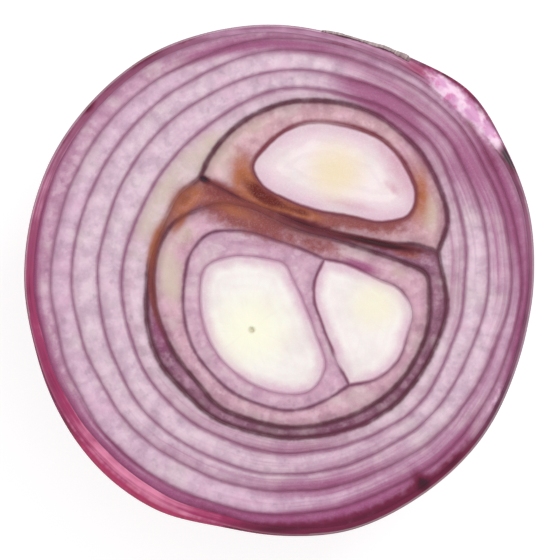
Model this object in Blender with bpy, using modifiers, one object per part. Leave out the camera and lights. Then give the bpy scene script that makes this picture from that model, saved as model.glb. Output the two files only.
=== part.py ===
"""Half of a red onion, cut across a little above its widest line and resting on its root plate.

The cut face is level and looks up (+Z). Every line between two pieces is drawn once, as an outline in
the cut face, and is carried down from there along the same set of fibres to the root plate, so that
neighbours follow each other all the way. The origin is on the floor under the middle of the onion.
"""

import math
import random

import bmesh
import bpy
import numpy as np
from mathutils import Vector

MM = 0.001

# Heights and the root plate
CUT_HEIGHT = 36.0 * MM
BELLY_DROP = 5.0 * MM
PLATE_RADIUS = 10.0 * MM
PLATE_RIM_HEIGHT = 2.6 * MM
PLATE_TOP_HEIGHT = 11.0 * MM
FOOT_RADIUS = 7.5 * MM
EDGE_INSET = 0.5 * MM
EDGE_HEIGHT = 1.2 * MM
GAP = 0.3 * MM
GAP_AT_PLATE = 0.1 * MM

# How finely the pieces are faceted
RING_SIDES = 36
CORE_SPACING = 3.0 * MM
FIBRE_STEPS = 6
FIBRE_SWEEP = math.radians(74)

# The widest outline of the onion, seen from above: angle in degrees, radius in mm
BELLY = [
    (0, 38.1), (15, 38.8), (30, 39.3), (45, 40.2), (58, 38.9), (72, 37.9), (90, 38.3), (120, 39.1),
    (150, 38.9), (180, 38.4), (195, 38.2), (210, 38.7), (228, 39.3), (242, 39.2), (257, 38.1),
    (270, 38.4), (285, 39.0), (303, 38.7), (322, 38.5), (343, 37.8),
]
# How far the belly stands out past the rim of the cut, everywhere and at its two swellings
OVERHANG = 0.4 * MM
SWELLINGS = [(46, 16, 1.6), (232, 26, 1.5)]

# The lines between the nested scales, from the outside in, as radii in mm every 45 degrees
RING_LINES = [
    [36.0, 36.4, 36.0, 34.8, 34.2, 34.8, 35.0, 35.7],
    [34.5, 35.2, 34.3, 31.7, 31.1, 31.1, 31.5, 32.9],
    [31.1, 32.6, 31.2, 28.3, 27.1, 28.1, 29.0, 30.1],
    [27.7, 30.4, 28.4, 23.9, 23.6, 24.7, 25.8, 27.7],
]
SKIN_SCALE_THICKNESS = 1.0 * MM
SKIN_SCALE_LEAN = 0.3 * MM

# Where each nested line meets the root plate, as a share of the plate's radius, from the rim in
PLATE_SHARES = [1.0, 0.94, 0.87, 0.80, 0.73, 0.665]
GROUP_SHARE = 0.60

# The outline of the two daughter bulbs, in its upper and lower arc: angle in degrees, radius in mm
GROUP_UPPER = [
    (10, 23.9), (19, 26.4), (32, 27.6), (46, 28.3), (60, 28.4), (75, 27.6), (90, 26.1), (105, 24.0),
    (118, 21.4), (128, 19.2),
]
GROUP_LOWER = [
    (128, 19.2), (140, 19.5), (158, 19.2), (180, 19.8), (205, 21.2), (230, 22.0), (255, 22.9),
    (280, 23.7), (305, 24.9), (330, 25.1), (352, 25.0), (370, 23.9),
]
# The middle of the dark band between the daughter bulbs, left to right, in mm
SEPTUM = [(-8.7, 13.1), (-4.6, 11.0), (0.0, 9.2), (5.0, 7.4), (10.5, 6.0), (16.5, 4.9), (20.5, 4.6)]
SEPTUM_HALF_WIDTH = 0.5 * MM

# Closed outlines inside the daughter bulbs, anticlockwise, in mm
UPPER_HEART = [
    (20.4, 12.6), (19.2, 16.3), (16.2, 20.2), (11.5, 22.6), (6.2, 23.7), (1.4, 22.5), (-2.4, 19.6),
    (-4.2, 16.9), (-3.0, 14.3), (0.4, 12.1), (5.2, 10.2), (10.3, 9.4), (15.5, 8.6), (19.3, 9.6),
]
THIN_SCALE_INSIDE = [
    (21.7, 0.9), (18.4, 2.6), (14.0, 4.2), (9.5, 5.6), (4.5, 7.0), (-0.5, 8.8), (-5.0, 10.7),
    (-9.0, 11.5), (-12.6, 10.4), (-16.0, 8.4), (-18.3, 4.0), (-19.0, -1.5), (-17.7, -7.2),
    (-14.2, -13.2), (-8.8, -18.8), (-2.0, -21.6), (5.7, -21.5), (12.8, -19.2), (18.4, -14.5),
    (21.6, -8.4), (22.4, -3.0),
]
HEARTS_LEFT_SIDE = [
    (6.5, 2.9), (2.5, 5.0), (-1.5, 6.3), (-6.3, 7.3), (-10.4, 6.9), (-13.1, 4.2), (-14.3, 0.2),
    (-14.3, -4.6), (-13.0, -9.8), (-9.6, -14.6), (-4.7, -18.0), (0.8, -19.4), (6.0, -18.3), (10.4, -15.8),
]
HEARTS_RIGHT_SIDE = [
    (10.4, -15.8), (14.0, -15.0), (17.3, -12.3), (19.1, -7.6), (19.7, -4.4), (18.4, -1.9), (14.8, 0.2),
    (10.5, 2.2), (6.5, 2.9),
]
DIVIDER = [(6.5, 2.9), (5.2, -0.4), (5.2, -2.6), (6.2, -6.4), (8.2, -11.4), (10.4, -15.8)]
LEFT_HEART = [
    (5.1, -7.6), (3.6, -3.4), (2.0, -0.2), (0.6, 2.4), (-3.1, 3.5), (-7.5, 3.4), (-11.1, 1.9),
    (-12.0, -2.2), (-11.3, -7.2), (-8.7, -12.0), (-4.6, -15.3), (0.4, -17.0), (4.8, -16.3), (6.7, -13.0),
]
# The middles that the scales of each bulb go round
UPPER_CENTRE = (8.0 * MM, 15.5 * MM)
LOWER_CENTRE = (1.0 * MM, -6.5 * MM)
LEFT_CENTRE = (-3.0 * MM, -6.5 * MM)

# A scrap of dry skin on the outside, at the top edge of the picture of the cut face
SCRAP_ANGLES = (60, 80)
SCRAP_THICKNESS = 0.5 * MM
SCRAP_COLUMNS = 9
SCRAP_ROWS = (0.1, 0.55, 1.0)
SCRAP_TORN_ROW = (1.1, 1.45)

# Trimmed roots round the root plate
ROOT_COUNT = 26
ROOT_LENGTH = (2.2 * MM, 4.4 * MM)
ROOT_HEIGHT = (0.8 * MM, 1.3 * MM)
ROOT_RADIUS = 0.55 * MM
ROOT_SINK = 2.0 * MM
ROOT_START = PLATE_RADIUS - 0.8 * MM
SEED = 7

PURPLE_SKIN = (112, 30, 66)
DRY_SKIN = (150, 118, 108)
PINK_FLESH = (216, 188, 208)
DARK_FLESH = (142, 96, 122)
STAINED_FLESH = (196, 158, 146)
CREAM_HEART = (244, 238, 226)
ROOT_PLATE = (186, 164, 128)


def spline(points, closed=False, steps=10):
    """Points along a smooth curve through the given ones."""
    knots = np.array(points, float)
    if closed:
        knots = np.vstack([knots[-1:], knots, knots[:2]])
    else:
        knots = np.vstack([2 * knots[:1] - knots[1:2], knots, 2 * knots[-1:] - knots[-2:-1]])
    chord = np.diff(knots, axis=0)
    length = np.linalg.norm(chord, axis=1)[:, None]
    speed = chord / length
    slope = (speed[1:] * length[:-1] + speed[:-1] * length[1:]) / (length[1:] + length[:-1])
    t = np.linspace(0, 1, steps, endpoint=False)[:, None]
    start_share = 2 * t**3 - 3 * t**2 + 1
    spans = [
        start_share * knots[i + 1]
        + (1 - start_share) * knots[i + 2]
        + (t**3 - 2 * t**2 + t) * length[i + 1] * slope[i]
        + (t**3 - t**2) * length[i + 1] * slope[i + 1]
        for i in range(len(knots) - 3)
    ]
    if not closed:
        spans.append(knots[-2:-1])
    return np.vstack(spans)


def polar_points(pairs):
    """Turns pairs of an angle in degrees and a radius in mm into points in metres."""
    return [(r * MM * math.cos(math.radians(a)), r * MM * math.sin(math.radians(a))) for a, r in pairs]


def in_metres(points):
    return [(x * MM, y * MM) for x, y in points]


def evenly(curve, spacing, closed=False):
    """Points at an even spacing along a curve, without the last one, where the next arc starts."""
    if closed:
        curve = np.vstack([curve, curve[:1]])
    reach = np.concatenate([[0], np.cumsum(np.linalg.norm(np.diff(curve, axis=0), axis=1))])
    count = max(2, round(reach[-1] / spacing))
    at = np.linspace(0, reach[-1], count, endpoint=False)
    return np.stack([np.interp(at, reach, curve[:, 0]), np.interp(at, reach, curve[:, 1])], axis=1)


def joined(*arcs):
    """One closed outline of open arcs that meet in corners."""
    return np.vstack([evenly(arc, CORE_SPACING) for arc in arcs])


def radius_reader(curve, centre=(0.0, 0.0)):
    """A function that gives a closed curve's distance from the centre at any angle in radians."""
    offset = curve - np.array(centre)
    angles = np.arctan2(offset[:, 1], offset[:, 0])
    radii = np.hypot(offset[:, 0], offset[:, 1])
    return lambda angle: np.interp(angle, angles, radii, period=2 * math.pi)


def seen_from(centre, outline, curve):
    """The points of a closed curve that lie on the lines from the centre to an outline's points."""
    offset = outline - np.array(centre)
    angle = np.arctan2(offset[:, 1], offset[:, 0])
    radius = radius_reader(curve, centre)(angle)
    return np.array(centre) + radius[:, None] * np.stack([np.cos(angle), np.sin(angle)], axis=1)


def overhang(angle):
    """How far the belly stands out past the rim at an angle in radians."""
    total = OVERHANG
    for at, width, size in SWELLINGS:
        turn = np.degrees(np.angle(np.exp(1j * (angle - math.radians(at)))))
        total = total + size * MM * np.exp(-((turn / width) ** 2))
    return total


belly_radius = radius_reader(spline(polar_points(BELLY), closed=True))
GROUP_TOP_ARC = spline(polar_points(GROUP_UPPER))
GROUP_BOTTOM_ARC = spline(polar_points(GROUP_LOWER))
group_radius = radius_reader(np.vstack([GROUP_TOP_ARC, GROUP_BOTTOM_ARC]))


def rim_radius(angle):
    return belly_radius(angle) - overhang(angle)


def skin_scale_inside(angle):
    return rim_radius(angle) - SKIN_SCALE_THICKNESS + SKIN_SCALE_LEAN * np.cos(angle)


def ring_radius(number):
    """The radius function of a nested line, counted from the rim, which is 0."""
    if number < 2:
        return (rim_radius, skin_scale_inside)[number]
    if number == len(PLATE_SHARES):
        return group_radius
    pairs = [(45 * i, r) for i, r in enumerate(RING_LINES[number - 2])]
    return radius_reader(spline(polar_points(pairs), closed=True))


def plate_height(share):
    return PLATE_RIM_HEIGHT + (PLATE_TOP_HEIGHT - PLATE_RIM_HEIGHT) * (1 - share**2)


def group_share(outline):
    """Where points inside the daughter bulbs' outline end on the root plate."""
    angle = np.arctan2(outline[:, 1], outline[:, 0])
    return GROUP_SHARE * np.hypot(outline[:, 0], outline[:, 1]) / group_radius(angle)


def fibres(outline, share):
    """Rows of points from an outline in the cut face down to the root plate."""
    angle = np.arctan2(outline[:, 1], outline[:, 0])
    radius = np.hypot(outline[:, 0], outline[:, 1])
    belly = radius + overhang(angle) * share**6
    foot = PLATE_RADIUS * share
    belly_height = CUT_HEIGHT - BELLY_DROP
    rows = [(radius, np.full_like(radius, CUT_HEIGHT))]
    for step in range(FIBRE_STEPS + 1):
        turn = FIBRE_SWEEP * step / FIBRE_STEPS
        inward = (math.cos(turn) - math.cos(FIBRE_SWEEP)) / (1 - math.cos(FIBRE_SWEEP))
        down = math.sin(turn) / math.sin(FIBRE_SWEEP)
        height = belly_height + (plate_height(share) - belly_height) * down
        rows.append((foot + (belly - foot) * inward, height))
    return np.array([np.stack([r * np.cos(angle), r * np.sin(angle), z], axis=1) for r, z in rows])


def unit(vectors):
    return vectors / np.linalg.norm(vectors, axis=-1, keepdims=True)


def wall(outline, share, side):
    """The surface under an outline, moved off it by half the gap: outwards for side 1, inwards for -1."""
    rows = fibres(outline, share)
    down = np.gradient(rows, axis=0)
    ahead = np.roll(rows, -1, axis=1) - rows
    before = unit(np.cross(down, np.roll(ahead, 1, axis=1)))
    after = unit(np.cross(down, ahead))
    middle = unit(before + after)
    stretch = 1 / np.maximum((middle * after).sum(axis=-1, keepdims=True), 0.6)
    half_gap = np.linspace(GAP, GAP_AT_PLATE, len(rows))[:, None, None] / 2
    moved = rows + side * half_gap * stretch * middle
    moved[0, :, 2] = CUT_HEIGHT
    return moved


def material(name, colour, roughness):
    """A Principled material from an sRGB colour."""
    made = bpy.data.materials.new(name)
    made.use_nodes = True
    shader = made.node_tree.nodes["Principled BSDF"]
    linear = [((c / 255 + 0.055) / 1.055) ** 2.4 for c in colour]
    shader.inputs["Base Color"].default_value = (*linear, 1.0)
    shader.inputs["Roughness"].default_value = roughness
    shader.inputs["Metallic"].default_value = 0.0
    made.diffuse_color = (*linear, 1.0)
    return made


def add_object(name, mesh, collection, finish):
    made = bpy.data.objects.new(name, mesh)
    mesh.materials.clear()
    mesh.materials.append(material(name, *finish))
    mesh.shade_smooth()
    mesh.set_sharp_from_angle(angle=math.radians(40))
    collection.objects.link(made)
    return made


def lofted(name, loops, closed, finish, collection):
    """A body through loops of equally many points, which end in caps or, if closed, meet the first."""
    shape = bmesh.new()
    rings = [[shape.verts.new(point) for point in loop] for loop in loops]
    count = len(rings[0])
    pairs = list(zip(rings, rings[1:]))
    if closed:
        pairs.append((rings[-1], rings[0]))
    for upper, lower in pairs:
        for i in range(count):
            j = (i + 1) % count
            shape.faces.new((upper[i], lower[i], lower[j], upper[j]))
    if not closed:
        shape.faces.new(rings[0])
        middle = np.mean(loops[-1], axis=0)
        hub = shape.verts.new((middle[0], middle[1], loops[-1][:, 2].max()))
        for i in range(count):
            shape.faces.new((rings[-1][i], rings[-1][(i + 1) % count], hub))
    bmesh.ops.triangulate(shape, faces=shape.faces[:], quad_method="FIXED")
    bmesh.ops.recalc_face_normals(shape, faces=shape.faces)
    mesh = bpy.data.meshes.new(name)
    shape.to_mesh(mesh)
    shape.free()
    return add_object(name, mesh, collection, finish)


def scale_ring(name, outer, inner, outer_share, inner_share, finish, collection):
    """A scale that goes all the way round: its outer face, then its inner face."""
    outside = wall(outer, outer_share, -1)
    inside = wall(inner, inner_share, 1)
    return lofted(name, [*outside, *inside[::-1]], True, finish, collection)


def nested_scale(name, number, finish, collection):
    """One of the scales round both daughter bulbs, counted from the outside."""
    angle = np.linspace(0, 2 * math.pi, RING_SIDES, endpoint=False)
    around = np.stack([np.cos(angle), np.sin(angle)], axis=1)
    shares = [*PLATE_SHARES, GROUP_SHARE]
    outlines = [ring_radius(n)(angle)[:, None] * around for n in (number, number + 1)]
    levels = [np.full(RING_SIDES, shares[n]) for n in (number, number + 1)]
    return scale_ring(name, *outlines, *levels, finish, collection)


def core_scale(name, outer, curve, centre, finish, collection):
    """A scale inside the daughter bulbs, between an outline and a closed curve within it."""
    inner = seen_from(centre, outer, curve)
    return scale_ring(name, outer, inner, group_share(outer), group_share(inner), finish, collection)


def heart(name, outline, finish, collection):
    """A solid heart of closely packed young leaves."""
    return lofted(name, wall(outline, group_share(outline), -1), False, finish, collection)


def daughter_bulbs(collection):
    """Everything inside the nested scales: the upper bulb, and the lower one with its two hearts."""
    middle = np.array(in_metres(SEPTUM))
    above = middle + np.array([0, SEPTUM_HALF_WIDTH])
    band = spline([GROUP_TOP_ARC[-1], *above, GROUP_TOP_ARC[0]])
    upper = joined(GROUP_TOP_ARC, band)
    lower = joined(GROUP_BOTTOM_ARC, band[::-1])
    upper_heart = spline(in_metres(UPPER_HEART), closed=True)
    thin_inside = spline(in_metres(THIN_SCALE_INSIDE), closed=True)
    left_side = spline(in_metres(HEARTS_LEFT_SIDE))
    right_side = spline(in_metres(HEARTS_RIGHT_SIDE))
    divider = spline(in_metres(DIVIDER))
    left_heart = spline(in_metres(LEFT_HEART), closed=True)
    both_hearts = np.vstack([left_side[:-1], right_side[:-1]])

    stained, cream = (STAINED_FLESH, 0.4), (CREAM_HEART, 0.35)
    core_scale("upper_bulb_scale", upper, upper_heart, UPPER_CENTRE, stained, collection)
    heart("upper_heart", evenly(upper_heart, CORE_SPACING, closed=True), cream, collection)
    core_scale("lower_thin_scale", lower, thin_inside, LOWER_CENTRE, (DARK_FLESH, 0.4), collection)
    within = evenly(thin_inside, CORE_SPACING, closed=True)
    core_scale("lower_scale", within, both_hearts, LOWER_CENTRE, stained, collection)
    round_left = joined(left_side, divider[::-1])
    core_scale("left_heart_scale", round_left, left_heart, LEFT_CENTRE, (PINK_FLESH, 0.4), collection)
    heart("left_heart", evenly(left_heart, CORE_SPACING, closed=True), cream, collection)
    heart("right_heart", joined(right_side, divider), cream, collection)


def dry_skin_scrap(collection):
    """A torn bit of the papery outer skin, which clings to the outside just under the rim."""
    draw = random.Random(SEED)
    start, end = (math.radians(a) for a in SCRAP_ANGLES)
    angle = np.linspace(start, end, SCRAP_COLUMNS)
    around = np.stack([np.cos(angle), np.sin(angle), 0 * angle], axis=1)
    rows = fibres(rim_radius(angle)[:, None] * around[:, :2], np.ones(SCRAP_COLUMNS))
    rows = rows + (GAP + SCRAP_THICKNESS / 2) * around
    shape = bmesh.new()
    columns = []
    for fibre in np.swapaxes(rows, 0, 1):
        at = [*SCRAP_ROWS, draw.uniform(*SCRAP_TORN_ROW)]
        points = np.stack([np.interp(at, range(len(fibre)), fibre[:, k]) for k in range(3)], axis=1)
        columns.append([shape.verts.new(point) for point in points])
    for left, right in zip(columns, columns[1:]):
        for j in range(len(SCRAP_ROWS)):
            shape.faces.new((left[j], right[j], right[j + 1], left[j + 1]))
    bmesh.ops.recalc_face_normals(shape, faces=shape.faces)
    mesh = bpy.data.meshes.new("dry_skin_scrap")
    shape.to_mesh(mesh)
    shape.free()
    made = add_object("dry_skin_scrap", mesh, collection, (DRY_SKIN, 0.6))
    thickness = made.modifiers.new("Thickness", "SOLIDIFY")
    thickness.thickness = SCRAP_THICKNESS
    thickness.offset = 0.0


def turned_plate():
    """The root plate without its roots: a low dome under the scales, with a flat foot."""
    shares = [i / 6 for i in range(7)]
    profile = [(PLATE_RADIUS * s, plate_height(s) - GAP) for s in shares]
    profile += [(PLATE_RADIUS - EDGE_INSET, EDGE_HEIGHT), (FOOT_RADIUS, 0.0), (0.0, 0.0)]
    shape = bmesh.new()
    verts = [shape.verts.new((r, 0.0, z)) for r, z in profile]
    for a, b in zip(verts, verts[1:]):
        shape.edges.new((a, b))
    mesh = bpy.data.meshes.new("root_plate")
    shape.to_mesh(mesh)
    shape.free()
    made = bpy.data.objects.new("root_plate", mesh)
    turn = made.modifiers.new("Turn", "SCREW")
    turn.steps = turn.render_steps = 32
    turn.use_merge_vertices = True
    turn.merge_threshold = 0.00001
    return made


def root_stub(number, draw, collection):
    """One trimmed root, sunk well into the side of the root plate."""
    angle = 2 * math.pi * (number + draw.uniform(-0.3, 0.3)) / ROOT_COUNT
    length = draw.uniform(*ROOT_LENGTH)
    middle = ROOT_START + (length - ROOT_SINK) / 2
    outward = Vector((math.cos(angle), math.sin(angle), draw.uniform(-0.02, 0.05))).normalized()
    mesh = bpy.data.meshes.new("root_stub")
    shape = bmesh.new()
    bmesh.ops.create_cone(
        shape, cap_ends=True, segments=5, radius1=ROOT_RADIUS, radius2=0.6 * ROOT_RADIUS,
        depth=length + ROOT_SINK,
    )
    shape.to_mesh(mesh)
    shape.free()
    stub = bpy.data.objects.new("root_stub", mesh)
    stub.location = outward * middle + Vector((0, 0, draw.uniform(*ROOT_HEIGHT)))
    stub.rotation_euler = outward.to_track_quat("Z", "Y").to_euler()
    stub.hide_render = True
    stub.display_type = "WIRE"
    collection.objects.link(stub)


def root_plate(collection, stubs):
    """The root plate with its roots, joined into one body."""
    draw = random.Random(SEED)
    plate = turned_plate()
    collection.objects.link(plate)
    for number in range(ROOT_COUNT):
        root_stub(number, draw, stubs)
    union = plate.modifiers.new("Roots", "BOOLEAN")
    union.operation = "UNION"
    union.operand_type = "COLLECTION"
    union.collection = stubs
    bpy.context.view_layer.update()
    evaluated = plate.evaluated_get(bpy.context.evaluated_depsgraph_get())
    mesh = bpy.data.meshes.new_from_object(evaluated)
    bpy.data.objects.remove(plate)
    for stub in list(stubs.objects):
        bpy.data.objects.remove(stub)
    return add_object("root_plate", mesh, collection, (ROOT_PLATE, 0.8))


def main():
    for existing in list(bpy.data.objects):
        bpy.data.objects.remove(existing)
    onion = bpy.data.collections.new("onion_half")
    stubs = bpy.data.collections.new("root_stubs")
    for collection in (onion, stubs):
        bpy.context.scene.collection.children.link(collection)
    nested_scale("outer_scale", 0, (PURPLE_SKIN, 0.3), onion)
    for number in range(1, len(PLATE_SHARES)):
        nested_scale(f"scale_{number}", number, (PINK_FLESH, 0.4), onion)
    daughter_bulbs(onion)
    dry_skin_scrap(onion)
    root_plate(onion, stubs)


main()
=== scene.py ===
"""Half of a red onion, cut across and resting on its root plate: surfaces, finishes, light and camera.

Every piece is drawn from the same outlines and fibres as the solid that it stands for, only finer. Outlines
are in mm in the cut face, +Y is up in the picture, and the origin is on the floor.
"""

import math
import random
from types import SimpleNamespace

import bmesh
import bpy
import numpy as np
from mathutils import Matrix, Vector


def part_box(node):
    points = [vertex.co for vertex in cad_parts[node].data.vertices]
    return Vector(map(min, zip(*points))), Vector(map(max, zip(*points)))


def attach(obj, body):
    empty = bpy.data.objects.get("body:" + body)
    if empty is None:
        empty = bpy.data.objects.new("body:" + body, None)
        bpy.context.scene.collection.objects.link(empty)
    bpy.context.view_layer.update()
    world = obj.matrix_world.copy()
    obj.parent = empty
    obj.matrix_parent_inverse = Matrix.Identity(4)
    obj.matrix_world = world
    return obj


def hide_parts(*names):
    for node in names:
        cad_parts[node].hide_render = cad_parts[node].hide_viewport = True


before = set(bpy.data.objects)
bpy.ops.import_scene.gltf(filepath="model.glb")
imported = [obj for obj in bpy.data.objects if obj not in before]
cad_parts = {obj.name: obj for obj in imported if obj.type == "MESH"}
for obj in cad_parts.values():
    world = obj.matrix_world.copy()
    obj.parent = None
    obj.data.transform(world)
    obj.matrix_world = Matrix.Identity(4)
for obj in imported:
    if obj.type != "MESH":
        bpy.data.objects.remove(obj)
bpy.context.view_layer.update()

MM = 0.001
SEED = 7

# Heights and the root plate, as in the solids
CUT_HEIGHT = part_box("outer_scale")[1].z
BELLY_DROP = 5.0 * MM
PLATE_RADIUS = 10.0 * MM
PLATE_RIM_HEIGHT = 2.6 * MM
PLATE_TOP_HEIGHT = 11.0 * MM
FOOT_RADIUS = 7.5 * MM
FIBRE_SWEEP = math.radians(74)

# The widest outline of the onion, seen from above: angle in degrees, radius in mm
BELLY = [
    (0, 38.1), (15, 38.8), (30, 39.3), (45, 40.2), (58, 38.9), (72, 37.9), (90, 38.3), (120, 39.1),
    (150, 38.9), (180, 38.4), (195, 38.2), (210, 38.7), (228, 39.3), (242, 39.2), (257, 38.1), (270, 38.4),
    (285, 39), (303, 38.7), (322, 38.5), (343, 37.8),
]
OVERHANG = 0.4 * MM
SWELLINGS = [(46, 16, 1.6), (232, 26, 1.5)]

# The lines between the nested scales, from the outside in, as radii in mm every 45 degrees
RING_LINES = [
    [36, 36.4, 36, 34.8, 34.2, 34.8, 35, 35.7],
    [34.5, 35.2, 34.3, 31.7, 31.1, 31.1, 31.5, 32.9],
    [31.1, 32.6, 31.2, 28.3, 27.1, 28.1, 29, 30.1],
    [27.7, 30.4, 28.4, 23.9, 23.6, 24.7, 25.8, 27.7],
]
SKIN_SCALE_THICKNESS = 1.0 * MM
SKIN_SCALE_LEAN = 0.3 * MM
PLATE_SHARES = [1.0, 0.94, 0.87, 0.80, 0.73, 0.665]
GROUP_SHARE = 0.60

# The outline of the two daughter bulbs, in its upper and lower arc: angle in degrees, radius in mm
GROUP_UPPER = [
    (10, 23.9), (19, 26.4), (32, 27.6), (46, 28.3), (60, 28.4), (75, 27.6), (90, 26.1), (105, 24),
    (118, 21.4), (128, 19.2),
]
GROUP_LOWER = [
    (128, 19.2), (140, 19.5), (158, 19.2), (180, 19.8), (205, 21.2), (230, 22), (255, 22.9), (280, 23.7),
    (305, 24.9), (330, 25.1), (352, 25), (370, 23.9),
]
SEPTUM = [(-8.7, 13.1), (-4.6, 11), (0, 9.2), (5, 7.4), (10.5, 6), (16.5, 4.9), (20.5, 4.6)]
SEPTUM_HALF_WIDTH = 0.5 * MM

# Closed outlines inside the daughter bulbs, anticlockwise, in mm
UPPER_HEART = [
    (20.4, 12.6), (19.2, 16.3), (16.2, 20.2), (11.5, 22.6), (6.2, 23.7), (1.4, 22.5), (-2.4, 19.6),
    (-4.2, 16.9), (-3, 14.3), (0.4, 12.1), (5.2, 10.2), (10.3, 9.4), (15.5, 8.6), (19.3, 9.6),
]
THIN_SCALE_INSIDE = [
    (21.7, 0.9), (18.4, 2.6), (14, 4.2), (9.5, 5.6), (4.5, 7), (-0.5, 8.8), (-5, 10.7), (-9, 11.5),
    (-12.6, 10.4), (-16, 8.4), (-18.3, 4), (-19, -1.5), (-17.7, -7.2), (-14.2, -13.2), (-8.8, -18.8),
    (-2, -21.6), (5.7, -21.5), (12.8, -19.2), (18.4, -14.5), (21.6, -8.4), (22.4, -3),
]
HEARTS_LEFT_SIDE = [
    (6.5, 2.9), (2.5, 5), (-1.5, 6.3), (-6.3, 7.3), (-10.4, 6.9), (-13.1, 4.2), (-14.3, 0.2),
    (-14.3, -4.6), (-13, -9.8), (-9.6, -14.6), (-4.7, -18), (0.8, -19.4), (6, -18.3), (10.4, -15.8),
]
HEARTS_RIGHT_SIDE = [
    (10.4, -15.8), (14, -15), (17.3, -12.3), (19.1, -7.6), (19.7, -4.4), (18.4, -1.9), (14.8, 0.2),
    (10.5, 2.2), (6.5, 2.9),
]
DIVIDER = [(6.5, 2.9), (5.2, -0.4), (5.2, -2.6), (6.2, -6.4), (8.2, -11.4), (10.4, -15.8)]
LEFT_HEART = [
    (5.1, -7.6), (3.6, -3.4), (2, -0.2), (0.6, 2.4), (-3.1, 3.5), (-7.5, 3.4), (-11.1, 1.9), (-12, -2.2),
    (-11.3, -7.2), (-8.7, -12), (-4.6, -15.3), (0.4, -17), (4.8, -16.3), (6.7, -13),
]
# The middles that the scales of each bulb go round, and the growing points of the hearts
UPPER_CENTRE = (8.0 * MM, 15.5 * MM)
LOWER_CENTRE = (1.0 * MM, -6.5 * MM)
LEFT_CENTRE = (-3.0 * MM, -6.5 * MM)
UPPER_TIP = (7.6 * MM, 16.4 * MM)
LEFT_TIP = (-4.2 * MM, -7.4 * MM)
RIGHT_TIP = (12.6 * MM, -5.4 * MM)

# How finely the pieces are drawn
RING_SIDES = 400
CORE_SPACING = 0.35 * MM
ACROSS = 18
FINE_STEPS, PLAIN_STEPS = 30, 12
SHOULDER_TURNS = [math.radians(a) for a in (0, 25, 40, 55, 70, 80)]
SHARP_ANGLE = math.radians(60)
# How much a corner may stretch an offset, as the smallest cosine of half its turn
SHARPEST_CORNER = 0.6
# The last loop of a heart's face, as a share of the way from its edge to its growing point
LAST_LOOP_SHARE = 0.97
# How many points are measured at once, and a distance in mm that no line's colour reaches
POINTS_AT_ONCE, FAR = 2000, 9.0

# The cut face's relief: the gap between scales, their rounded edges and their unevenness
HALF_GAP = 0.01 * MM
OUTSIDE_INSET = 0.2 * MM
EDGE_SINK = 0.06 * MM
EDGE_ROUND = 0.5 * MM
UNEVENNESS = 0.1 * MM
LEVEL_SPREAD = 0.05 * MM
WAVE_COUNT = 14
WAVE_LENGTHS = (3.5 * MM, 16 * MM)
WAVE_STEEPNESS = 0.0035
DEEPEST_WAVE = 8.0 * MM
CALM_RADIUS, CALM_DEPTH = 38.5 * MM, 4.0 * MM
# Where the cut's shoulder falls away outwards: angle and half width in degrees, start in mm, steepness
SHOULDERS = [(46, 15, 36.3, 0.36), (232, 24, 37, 0.2)]
DEEPEST_SHOULDER = 1.5 * MM

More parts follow.
